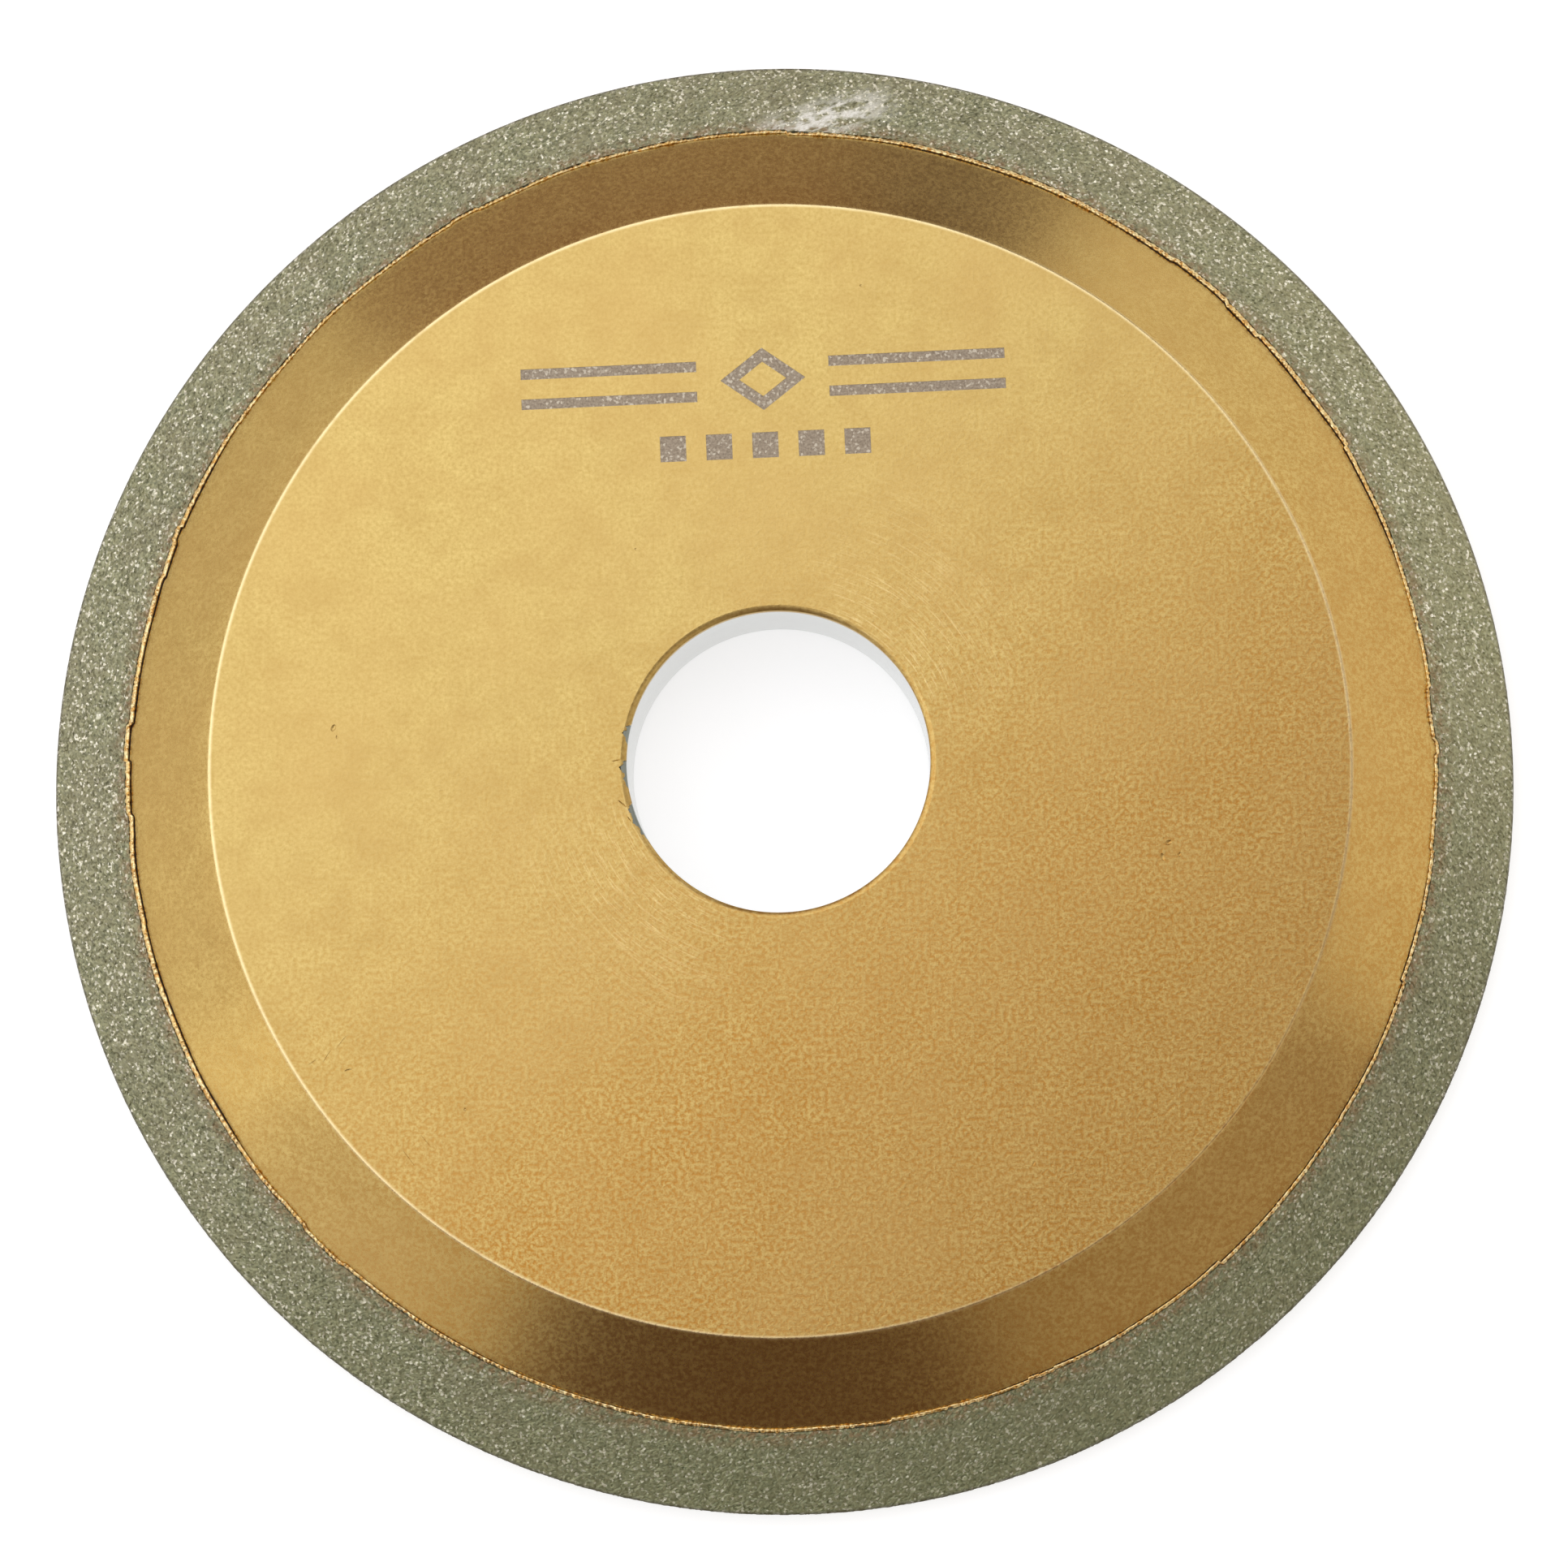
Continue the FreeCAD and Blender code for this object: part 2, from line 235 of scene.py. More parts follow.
class Shader:
    """A node material with short ways to add and join nodes."""

    def __init__(self, name):
        self.material = bpy.data.materials.new(name)
        self.material.use_nodes = True
        self.tree = self.material.node_tree
        self.surface = self.tree.nodes["Principled BSDF"]

    def add(self, kind, **settings):
        made = self.tree.nodes.new("ShaderNode" + kind)
        for key, value in settings.items():
            setattr(made, key, value)
        return made

    def join(self, source, target):
        self.tree.links.new(source, target)
        return target

    def feed(self, target, value):
        """Sets an input, or joins an output to it."""
        if isinstance(value, bpy.types.NodeSocket):
            self.join(value, target)
        else:
            target.default_value = value

    def math(self, operation, first, second=0.0):
        made = self.add("Math", operation=operation)
        self.feed(made.inputs[0], first)
        self.feed(made.inputs[1], second)
        return made.outputs[0]

    def place(self):
        """The point on the wheel, in millimetres."""
        coordinates = self.add("TexCoord").outputs["Object"]
        scale = self.add("VectorMath", operation="SCALE")
        self.join(coordinates, scale.inputs[0])
        scale.inputs["Scale"].default_value = 1 / MM
        return scale.outputs[0]

    def parts(self, vector):
        split = self.add("SeparateXYZ")
        self.join(vector, split.inputs[0])
        return split.outputs

    def vector(self, x, y, z):
        made = self.add("CombineXYZ")
        for socket, value in zip(made.inputs, (x, y, z)):
            self.feed(socket, value)
        return made.outputs[0]

    def polar(self, place):
        """Distance from the wheel's axis, and the direction from it."""
        x, y, z = self.parts(place)
        flat = self.vector(x, y, 0.0)
        length = self.add("VectorMath", operation="LENGTH")
        self.join(flat, length.inputs[0])
        around = self.add("VectorMath", operation="NORMALIZE")
        self.join(flat, around.inputs[0])
        return length.outputs["Value"], self.parts(around.outputs[0])

    def noise(self, vector, scale, detail=2.0, roughness=0.5):
        """Soft noise from 0 to 1, with this many waves to the millimetre."""
        made = self.add("TexNoise")
        self.join(vector, made.inputs["Vector"])
        made.inputs["Scale"].default_value = scale
        made.inputs["Detail"].default_value = detail
        made.inputs["Roughness"].default_value = roughness
        return made.outputs["Fac"]

    def cells(self, vector, scale):
        """Cells that each have a random colour, this many to the millimetre."""
        made = self.add("TexVoronoi")
        self.join(vector, made.inputs["Vector"])
        made.inputs["Scale"].default_value = scale
        return made.outputs

    def range(self, value, low, high, to_low=0.0, to_high=1.0, smooth=False):
        """A value that runs from low to high, stretched to run between two others."""
        made = self.add("MapRange")
        made.interpolation_type = "SMOOTHSTEP" if smooth else "LINEAR"
        self.feed(made.inputs["Value"], value)
        for name, number in (
            ("From Min", low),
            ("From Max", high),
            ("To Min", to_low),
            ("To Max", to_high),
        ):
            self.feed(made.inputs[name], number)
        return made.outputs[0]

    def mix(self, share, first, second):
        """The first colour, with this share of the second one in it."""
        made = self.add("Mix", data_type="RGBA")
        made.clamp_factor = True
        self.feed(made.inputs[0], share)
        self.feed(made.inputs[6], first)
        self.feed(made.inputs[7], second)
        return made.outputs[2]

    def colour(self, value):
        self.feed(self.surface.inputs["Base Color"], value)

    def set(self, name, value):
        self.feed(self.surface.inputs[name], value)

    def bump(self, height, distance, strength=1.0):
        made = self.add("Bump")
        self.feed(made.inputs["Strength"], strength)
        made.inputs["Distance"].default_value = distance * MM
        self.join(height, made.inputs["Height"])
        self.join(made.outputs[0], self.surface.inputs["Normal"])


def srgb(red, green, blue):
    """A colour given as 0 to 255, made linear."""
    linear = []
    for part in (red, green, blue):
        share = part / 255
        linear.append(share / 12.92 if share <= 0.04045 else ((share + 0.055) / 1.055) ** 2.4)
    return (*linear, 1.0)


def gold_lacquer():
    """Satin metallic gold: fine grain, soft clouds, turning marks with painted glints, a painted
    highlight on the hub's rubbed edge, and painted shade towards the lower right.
    """
    s = Shader("gold_lacquer")
    place = s.place()
    x, y, z = s.parts(place)
    radius, around = s.polar(place)
    front = s.range(z, RECESS_Z + 0.5, RECESS_Z + 1.0)
    on_bevel = s.range(radius, HUB_FACE_R - 0.3, HUB_FACE_R + 0.3)
    on_bevel = s.math("MULTIPLY", on_bevel, front)

    grain = s.noise(place, 2.9, 3.0, 0.65)
    fine = s.noise(place, 7.0, 2.0, 0.6)
    mottle = s.noise(place, 0.35, 4.0, 0.65)
    cloud = s.noise(place, 0.07, 3.0, 0.55)

    # Turning marks of the lathe: real grooves in the bump and roughness, and a painted highlight,
    # their glints painted pale in two opposite fans where the light catches them.
    streak_at = s.vector(
        s.math("MULTIPLY", around[0], 7.0),
        s.math("MULTIPLY", around[1], 7.0),
        s.math("MULTIPLY", radius, 7.5),
    )
    streak = s.noise(streak_at, 1.0, 2.0, 0.55)
    near_bore = s.range(radius, 14.0, 30.0, 1.0, 0.0, smooth=True)
    diagonal = s.math("MULTIPLY", around[0], around[1])
    glint_fans = s.range(diagonal, 0.12, 0.45, 0.06, 1.0)
    glint_fans = s.math("MULTIPLY", glint_fans, near_bore)
    turning_marks_and_glints = s.math("MULTIPLY", s.range(streak, 0.52, 0.74), glint_fans)

    # Painted highlight: the rounding at the hub's edge is painted pale towards the lit upper left,
    # fading out towards the lower right, and is a little glossier, as rubbed.
    beside = s.math("ABSOLUTE", s.math("SUBTRACT", radius, HUB_FACE_R - 0.05))
    painted_edge_mask = s.range(s.noise(place, 0.8, 3.0, 0.6), 0.25, 0.5, 0.5, 1.0)
    edge_highlight_and_rub = s.math("MULTIPLY", s.range(beside, 0.02, 0.22, 1.0, 0.0), painted_edge_mask)
    toward_key_light = s.math("MULTIPLY", around[1], 0.64)
    toward_key_light = s.math("SUBTRACT", toward_key_light, s.math("MULTIPLY", around[0], 0.77))
    edge_highlight_and_rub = s.math("MULTIPLY", edge_highlight_and_rub, s.range(toward_key_light, -1.0, -0.75, 0.3, 1.0))
    edge_highlight_and_rub = s.math("MULTIPLY", edge_highlight_and_rub, front)

    # Painted shade: the lacquer's own speckle is painted browner and darker towards the lower right,
    # the side away from the key light.
    side = s.math("SUBTRACT", s.math("MULTIPLY", x, 0.7), y)
    lower_right_shade = s.range(side, -20.0, 26.0)

    base = s.mix(s.range(grain, 0.3, 0.7), srgb(177, 148, 78), srgb(207, 180, 109))
    base = s.mix(s.range(mottle, 0.40, 0.68, 0.0, 0.40), base, srgb(172, 138, 70))
    speckle = s.math("MULTIPLY", s.range(grain, 0.38, 0.58, 1.0, 0.2), lower_right_shade)
    calm = s.range(on_bevel, 0.0, 1.0, 0.95, 0.55)
    base = s.mix(s.math("MULTIPLY", speckle, calm), base, srgb(170, 115, 30))
    base = s.mix(s.range(cloud, 0.35, 0.7, 0.0, 0.4), base, srgb(186, 150, 84))
    # Painted highlight: the turning marks' glints.
    base = s.mix(s.math("MULTIPLY", turning_marks_and_glints, 0.26), base, srgb(246, 228, 172))
    # Painted highlight along the hub's edge.
    base = s.mix(s.math("MULTIPLY", edge_highlight_and_rub, 0.5), base, srgb(246, 230, 182))
    s.colour(base)
    s.set("Metallic", 1.0)
    rough = s.range(grain, 0.3, 0.7, 0.33, 0.41)
    rough = s.math("SUBTRACT", rough, s.math("MULTIPLY", on_bevel, 0.10))
    rough = s.math("SUBTRACT", rough, s.math("MULTIPLY", edge_highlight_and_rub, 0.04))
    s.set("Roughness", s.math("SUBTRACT", rough, s.math("MULTIPLY", turning_marks_and_glints, 0.08)))
    s.set("Coat Weight", 0.5)
    s.set("Coat Roughness", 0.4)
    height = s.math("ADD", grain, s.math("MULTIPLY", fine, 0.5))
    height = s.math("ADD", height, s.math("MULTIPLY", turning_marks_and_glints, 0.3))
    s.bump(height, 0.02, s.range(on_bevel, 0.0, 1.0, 0.8, 0.25))
    return s.material


def lip_lacquer():
    """The same lacquer, thin and broken over the ragged nickel build-up."""
    s = Shader("lip_lacquer")
    place = s.place()
    grain = s.noise(place, 2.6, 3.0, 0.7)
    thin = s.noise(place, 0.5, 2.0, 0.5)
    base = s.mix(s.range(grain, 0.4, 0.6), srgb(198, 148, 78), srgb(250, 234, 180))
    base = s.mix(s.range(thin, 0.45, 0.65, 0.0, 0.4), base, srgb(226, 186, 108))
    s.colour(base)
    s.set("Metallic", 1.0)
    s.set("Roughness", s.range(grain, 0.3, 0.7, 0.25, 0.42))
    s.bump(grain, 0.05, 0.8)
    return s.material


def bare_steel():
    """Turned bare steel, dull, with fine rings and light oxidation, and painted shade in the gap
    beside the plated band.
    """
    s = Shader("bare_steel")
    place = s.place()
    x, y, z = s.parts(place)
    radius, around = s.polar(place)
    ring_at = s.vector(
        s.math("MULTIPLY", around[0], 4.0),
        s.math("MULTIPLY", around[1], 4.0),
        s.math("ADD", s.math("MULTIPLY", radius, 7.0), s.math("MULTIPLY", z, 7.0)),
    )
    rings = s.noise(ring_at, 1.0, 3.0, 0.6)
    cloud = s.noise(place, 0.25, 3.0, 0.6)
    base = s.mix(s.range(rings, 0.3, 0.7), srgb(156, 161, 159), srgb(205, 210, 207))
    base = s.mix(s.range(cloud, 0.5, 0.75, 0.0, 0.35), base, srgb(150, 138, 118))
    # The chamfer at the bore is dull, the ground wall of the bore bright.
    chamfer = s.range(radius, CHAMFER_R + 0.02, CHAMFER_R + 0.1, 0.65, 0.0)
    base = s.mix(chamfer, base, srgb(122, 130, 120))
    wall = s.range(radius, BORE_R + 0.01, BORE_R + 0.04, 1.0, 0.0)
    base = s.mix(s.math("MULTIPLY", wall, 0.6), base, srgb(250, 250, 250))
    # Painted shade: the steel in the narrow gap beside the plated band is painted near black, where
    # the lip and the lacquer's edge shade it; there it is also dull and not metallic.
    beside = s.range(radius, BAND_R - 2.0, BAND_R - 1.5, 0.0, 1.0)
    front = s.range(z, RECESS_Z + 1.0, RECESS_Z + 1.5, 0.0, 1.0)
    painted_gap_shade = s.math("MULTIPLY", beside, front)
    base = s.mix(painted_gap_shade, base, srgb(46, 30, 18))
    s.colour(base)
    s.set("Metallic", s.range(painted_gap_shade, 0.0, 1.0, 1.0, 0.0))
    rough = s.range(rings, 0.3, 0.7, 0.28, 0.42)
    rough = s.math("SUBTRACT", rough, s.math("MULTIPLY", wall, 0.14))
    s.set("Roughness", s.math("ADD", rough, s.math("MULTIPLY", painted_gap_shade, 0.5)))
    s.bump(rings, 0.012, 0.7)
    return s.material


def nickel():
    """Dull electroplated nickel, lightly nodular."""
    s = Shader("dull_nickel")
    place = s.place()
    nodules = s.cells(place, 4.0)["Distance"]
    tone = s.noise(place, 1.5, 3.0, 0.6)
    s.colour(s.mix(s.range(tone, 0.3, 0.7), srgb(104, 105, 88), srgb(146, 146, 126)))
    s.set("Metallic", 1.0)
    s.set("Roughness", 0.42)
    s.bump(nodules, 0.04, 0.8)
    return s.material


def diamond_grit():
    """Grey-green crystals in nickel: each cell has its own tone and gloss, and some cells are
    painted near white as glints.
    """
    s = Shader("diamond_grit")
    place = s.place()
    x, y, z = s.parts(place)
    tones = s.parts(s.cells(place, 4.8)["Color"])
    fine = s.noise(place, 6.0, 2.0, 0.6)
    cloud = s.noise(place, 0.2, 3.0, 0.6)
    base = s.mix(s.range(tones[0], 0.0, 1.0), srgb(107, 109, 83), srgb(181, 180, 143))
    base = s.mix(s.range(fine, 0.35, 0.65, 0.0, 0.45), base, srgb(134, 134, 102))
    base = s.mix(s.range(cloud, 0.35, 0.7, 0.0, 0.35), base, srgb(148, 137, 112))
    # Painted shade: greener and darker towards the lower right, the side away from the key light.
    side = s.math("SUBTRACT", s.math("MULTIPLY", x, 0.3), y)
    base = s.mix(s.range(side, 0.0, 65.0, 0.0, 0.55), base, srgb(104, 110, 72))
    # Painted light: paler on the right, where the right-hand lights fall.
    right_side_light = s.math("MULTIPLY", s.range(x, 20.0, 58.0), s.range(y, -22.0, 4.0))
    base = s.mix(s.math("MULTIPLY", right_side_light, 0.24), base, srgb(188, 186, 140))
    # Painted glints: some cells are painted near white as sparkles, and fewer of them towards the
    # lower right, the side away from the key light.
    glint = s.range(tones[1], 0.83, 1.0)
    glint = s.math("MULTIPLY", glint, s.range(side, 0.0, 60.0, 1.0, 0.4))
    base = s.mix(glint, base, srgb(250, 246, 226))
    # Painted shade: the crystals at the front's outer edge are painted dark, as the edge of the rim
    # in shade.
    radius, around = s.polar(place)
    edge_z = bevel_z(WHEEL_R, BOND)
    painted_edge_mask = s.range(radius, WHEEL_R - 0.34, WHEEL_R - 0.14, 0.0, 0.6)
    painted_edge_mask = s.math("MULTIPLY", painted_edge_mask, s.range(z, edge_z - 0.5, edge_z - 0.2))
    base = s.mix(painted_edge_mask, base, srgb(52, 40, 34))
    # Beside the lip they carry a little brown lacquer.
    spray = s.range(radius, BAND_R + 0.2, BAND_R + 1.4, 1.0, 0.0)
    drops = s.noise(place, 1.6, 3.0, 0.7)
    spray = s.math("MULTIPLY", spray, s.range(drops, 0.42, 0.62, 0.0, 0.6))
    spray = s.math("MULTIPLY", spray, s.range(z, RECESS_Z + 0.5, RECESS_Z + 1.0))
    base = s.mix(spray, base, srgb(146, 108, 70))

    # A chalky smear of dressing-stone dust at the top of the front.
    run = s.math("SUBTRACT", s.math("MULTIPLY", x, 0.94), s.math("MULTIPLY", y, -0.34))
    rise = s.math("SUBTRACT", s.math("MULTIPLY", y, 0.94), s.math("MULTIPLY", x, 0.34))
    wisp = s.noise(s.vector(s.math("MULTIPLY", run, 0.4), rise, 0.0), 1.3, 3.0, 0.65)
    across = s.math("ABSOLUTE", s.math("SUBTRACT", rise, 52.2))
    along = s.math("ABSOLUTE", s.math("SUBTRACT", run, 23.2))
    patch = s.range(across, 0.8, 2.4, 1.0, 0.0)
    patch = s.math("MULTIPLY", patch, s.range(along, 2.5, 7.0, 1.0, 0.0))
    patch = s.math("MULTIPLY", patch, s.range(z, RECESS_Z + 0.5, RECESS_Z + 1.0))
    dust = s.math("MULTIPLY", patch, s.range(wisp, 0.40, 0.56, 0.0, 0.95))
    base = s.mix(dust, base, srgb(232, 230, 222))
    s.colour(base)
    metal = s.range(tones[2], 0.0, 1.0, 0.25, 0.6)
    s.set("Metallic", s.math("MULTIPLY", metal, s.range(dust, 0.0, 1.0, 1.0, 0.1)))
    rough = s.range(tones[2], 0.0, 1.0, 0.34, 0.55)
    rough = s.math("SUBTRACT", rough, s.math("MULTIPLY", glint, 0.16))
    s.set("Roughness", s.math("ADD", rough, s.math("MULTIPLY", dust, 0.4)))
    s.bump(fine, 0.03, 0.5)
    return s.material


def burnt_mark():
    """Grey-brown matt mark with a coarse metallic grain."""
    s = Shader("burnt_mark")
    place = s.place()
    grain = s.noise(place, 5.0, 3.0, 0.7)
    specks = s.cells(place, 5.0)["Color"]
    tone = s.parts(specks)[0]
    base = s.mix(s.range(grain, 0.35, 0.65), srgb(132, 118, 100), srgb(168, 154, 134))
    base = s.mix(s.range(tone, 0.8, 0.95, 0.0, 0.7), base, srgb(212, 202, 182))
    s.colour(base)
    s.set("Metallic", 0.6)
    s.set("Roughness", 0.5)
    s.bump(grain, 0.04, 0.8)
    return s.material


def pale_floor():
    """A matt white board that glows a little, as a light table does."""
    s = Shader("pale_floor")
    place = s.place()
    tone = s.noise(place, 0.02, 2.0, 0.5)
    s.colour(s.mix(s.range(tone, 0.3, 0.7), (0.36, 0.36, 0.36, 1), (0.39, 0.39, 0.39, 1)))
    s.set("Roughness", 0.9)
    s.set("Emission Color", (1, 1, 1, 1))
    s.set("Emission Strength", 0.74)
    return s.material


GOLD = gold_lacquer()
LIP = lip_lacquer()
STEEL = bare_steel()
NICKEL = nickel()
GRITTY = diamond_grit()
MARK = burnt_mark()


def finish_piece(piece, node, material):
    """Gives a piece its material and body, and hides the CAD node it stands for."""
    piece.data.materials.append(material)
    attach(piece, "root")
    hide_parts(node)
    return piece


# ------------------------------------------------------- where the band ends

STEPS = (  # where the band's edge jumps sideways: degrees, and millimetres
    (175.8, 184.2, 0.26),
    (159.0, 162.8, -0.18),
    (224.0, 229.0, 0.16),
    (46.0, 52.5, 0.18),
    (2.0, 7.0, -0.20),
    (118.0, 121.0, 0.15),
)


def band_edge(angles):
    """How far the ragged edge of the plated band strays from its circle."""
    slow = 0.10 * ring_noise(angles, 7, 11)
    middle = 0.07 * ring_noise(angles, 40, 12)
    kinks = np.zeros_like(angles)
    rng = np.random.default_rng(13)
    for turn in rng.uniform(0, 2 * math.pi, 24):
        offset = (angles - turn + math.pi) % (2 * math.pi) - math.pi
        span = rng.uniform(0.05, 0.16)
        height = rng.uniform(-0.24, 0.24)
        inside = (offset > 0) & (offset < span)
        kinks += np.where(inside, height * (1 - offset / span), 0)
    for start, end, height in STEPS:
        kinks += height * window(angles, start, end, 0.35)
    return slow + middle + kinks


def bead_fullness(angles):
    """How full the lip's bead is: 1 where it stands proud, 0 where it is thin."""
    full = np.maximum(window(angles, 140, 225, 20), window(angles, 15, 90, 20))
    return full * (0.8 + 0.2 * ring_noise(angles, 50, 45))


def band_start(angles):
    """Radius where the crystals begin: further in where the lip is thin."""
    thinning = 0.34 * BEAD * (1 - bead_fullness(angles))
    return BAND_R - thinning + band_edge(angles)


CRACKS = (  # where the lacquer has drawn back from the lip: degrees, millimetres
    (146, 218, 0.14),
    (16, 62, 0.14),
    (60, 84, 0.10),
    (286, 352, 0.09),
    (228, 262, 0.05),
)


def crack_width(angles):
    """Width of the dark gap between the lacquer and the ragged lip."""
    width = np.zeros_like(angles)
    for start, end, widest in CRACKS:
        width = np.maximum(width, widest * window(angles, start, end))
    slow = 0.5 + 0.5 * ring_noise(angles, 60, 21)
    fine = 0.5 + 0.5 * ring_noise(angles, 300, 22)
    return 0.005 + width * (0.45 + 0.45 * slow + 0.35 * fine)


def build_core():
    """The steel blank, with small roundings on its turned edges."""
    small = 0.12
    sink = small / 4
    section = [(BORE_R, CHAMFER), (CHAMFER_R - small, small), (CHAMFER_R, sink)]
    section += [(CHAMFER_R + small, 0.0), (SEAT_R - small, 0.0), (SEAT_R, small)]
    section += [(SEAT_R, RECESS_Z), (BACK_BAND_R, RECESS_Z)]
    section += [(BACK_BAND_R, BAND_RECESS_Z), (RIM_R, BAND_RECESS_Z)]
    section += [(RIM_R, bevel_z(RIM_R))]
    tangent = HUB_EDGE * math.tan(SLOPE / 2)
    centre = (HUB_R - tangent, STEEL_Z - HUB_EDGE)
    section += arc(centre, HUB_EDGE, 60, 90, 6)
    section += [(CHAMFER_R + small, STEEL_Z), (CHAMFER_R, STEEL_Z - sink)]
    section += [(BORE_R + small / 2, STEEL_Z - CHAMFER + small / 2)]
    section += [(BORE_R, STEEL_Z - CHAMFER - small)]
    radii, heights = even(section, 720)
    piece = closed_ring("core_steel", radii, heights)
    sharpen(piece, 25)
    return finish_piece(piece, "core_disc", STEEL)


def build_bond():
    """The nickel shell under the crystals, from under the lip to the rim."""
    count = 2000
    angles = angles_of(count)
    inner = band_start(angles) - BOND
    outline = [
        (RIM_R, bevel_z(RIM_R)),
        (RIM_R, BAND_RECESS_Z),
        (BACK_BAND_R, BAND_RECESS_Z),
        (BACK_BAND_R, BOND_BACK_Z),
        (BOND_R, BOND_BACK_Z),
        (BOND_R, bevel_z(BOND_R, BOND)),
    ]
    radii, heights = even(outline, count)
    radii = np.vstack([inner, radii, inner])
    heights = np.vstack([bevel_z(inner, 0.01), heights, bevel_z(inner, BOND)])
    piece = closed_ring("nickel_shell", radii, heights)
    sharpen(piece, 25)
    return finish_piece(piece, "nickel_bond", NICKEL)


CHIPS = (  # lacquer chipped off the bore's chamfer: degrees, and where it is widest
    (165.0, 174.0, 0.45),
    (179.6, 192.5, 0.06),
    (195.3, 213.0, 0.22),
)


def chip_depth(angles):
    """1 where the lacquer has chipped right off the bore's chamfer, else 0."""
    degrees = np.degrees(angles) % 360
    chipped = np.zeros_like(angles)
    for start, end, peak in CHIPS:
        share = np.clip((degrees - start) / (end - start), 0, 1)
        rise = share / peak
        fall = (1 - share) / (1 - peak)
        chipped = np.maximum(chipped, np.minimum(rise, fall) ** 0.4)
    return chipped


ROUND_STEPS = 7  # points on the rounding at the hub's edge
BREAK_POINTS = 6  # points from the bore's wall to the hub's face


def film_outline():
    """The lacquer's outer section from the bore to the band, with lengths."""
    wide, deep = BREAK
    # The break at the bore bulges a little, as lacquer does where it has run.
    points = [(BORE_R, FACE_Z - CHAMFER), (BORE_R, FACE_Z - deep - 0.14)]
    points += [(BORE_R + 0.02, FACE_Z - deep - 0.05), (BORE_R + 0.07, FACE_Z - deep)]
    points += [(BORE_R + wide - 0.10, FACE_Z - 0.025), (BORE_R + wide + 0.06, FACE_Z)]
    tangent = FILM_EDGE * math.tan(SLOPE / 2)
    centre = (HUB_FACE_R - tangent, FACE_Z - FILM_EDGE)
    points += arc(centre, FILM_EDGE, 90, 60, ROUND_STEPS)
    end = BAND_R + 1.0
    points += [(end, bevel_z(end, FILM))]
    points = np.array(points)
    steps = np.hypot(*np.diff(points, axis=0).T)
    lengths = np.concatenate([[0], np.cumsum(steps)])
    return points, lengths


def lay_along(outline, lengths, at):
    """Radius and height at these lengths along an outline."""
    return np.interp(at, lengths, outline[:, 0]), np.interp(at, lengths, outline[:, 1])


# Dents in the hub's face. The long ones are scratches, and the last three are
# nicks in the lacquer beside the bore.
PITS = (  # x, y, width, depth, length over width, turn in degrees
    (-37.3, 2.9, 0.42, 0.07, 1.5, 60),
    (-37.0, 2.1, 0.20, 0.04, 1.6, 100),
    (32.4, -7.0, 0.42, 0.08, 1.5, 20),
    (31.9, -8.2, 0.44, 0.08, 1.6, 110),
    (33.3, -8.0, 0.30, 0.07, 1.6, 60),
    (7.0, 40.6, 0.20, 0.04, 1.4, 0),
    (-25.9, -29.0, 0.20, 0.05, 1.3, 30),
    (21.0, -33.5, 0.24, 0.03, 1.5, 80),
    (-12.0, 18.0, 0.18, 0.03, 1.3, 0),
    (-36.2, -23.4, 0.10, 0.02, 14.0, 52),
    (-37.4, -24.6, 0.12, 0.02, 11.0, 58),
    (-38.6, -25.1, 0.10, 0.02, 9.0, 35),
    (-35.6, -25.8, 0.30, 0.03, 2.2, 10),
    (-30.5, -33.0, 0.05, 0.02, 40.0, 128),
    (-29.1, -31.6, 0.05, 0.02, 30.0, 131),
    (-13.55, 0.05, 0.10, 0.09, 7.0, 12),
    (-13.0, -3.6, 0.12, 0.09, 8.0, 140),
    (-12.4, -4.9, 0.08, 0.09, 7.0, 125),
)
HAIR = 0.0005  # corners this close are one, and a face this near the hub's is part of it


def pit(x, y, width, depth, stretch, turn):
    """A lens-shaped cutter whose lower half sinks into the hub's face."""
    spread = 1.15  # the lens is cut above its middle
    bm = bmesh.new()
    bmesh.ops.create_uvsphere(bm, u_segments=24, v_segments=12, radius=0.5)
    place = Matrix.Translation((x, y, FACE_Z + depth))
    place @= Matrix.Rotation(math.radians(turn), 4, "Z")
    place @= Matrix.Diagonal((width * stretch * spread, width * spread, 4 * depth, 1))
    bmesh.ops.transform(bm, matrix=place, verts=bm.verts)
    bmesh.ops.scale(bm, vec=(MM, MM, MM), verts=bm.verts)
    return bm


def mark_cutter():
    """The mark's outline, tall enough to go right through the lacquer."""
    bm = bmesh.new()
    bm.from_mesh(bpy.data.objects["face_mark"].data)
    bmesh.ops.remove_doubles(bm, verts=bm.verts, dist=1e-7)
    middle = (top_of("face_mark") + bottom_of("face_mark")) / 2
    for vert in bm.verts:
        height = STEEL_Z - FILM if vert.co.z < middle * MM else FACE_Z + FILM
        vert.co.z = height * MM
    return bm


def cut_film(film):
    """Cuts the mark's openings and the small pits out of the lacquer."""
    joined = bpy.data.meshes.new("cutters")
    total = bmesh.new()
    for part in [mark_cutter()] + [pit(*numbers) for numbers in PITS]:
        part.to_mesh(joined)
        total.from_mesh(joined)
        part.free()
    total.to_mesh(joined)
    total.free()
    cutter = bpy.data.objects.new("cutters", joined)
    bpy.context.scene.collection.objects.link(cutter)
    change = film.modifiers.new("cut", "BOOLEAN")
    change.operation = "DIFFERENCE"
    change.solver = "MANIFOLD"
    change.object = cutter
    graph = bpy.context.evaluated_depsgraph_get()
    shaped = bpy.data.meshes.new_from_object(film.evaluated_get(graph))
    film.modifiers.clear()
    shaped.materials.clear()
    weld(shaped)
    film.data = shaped
    bpy.data.objects.remove(cutter)


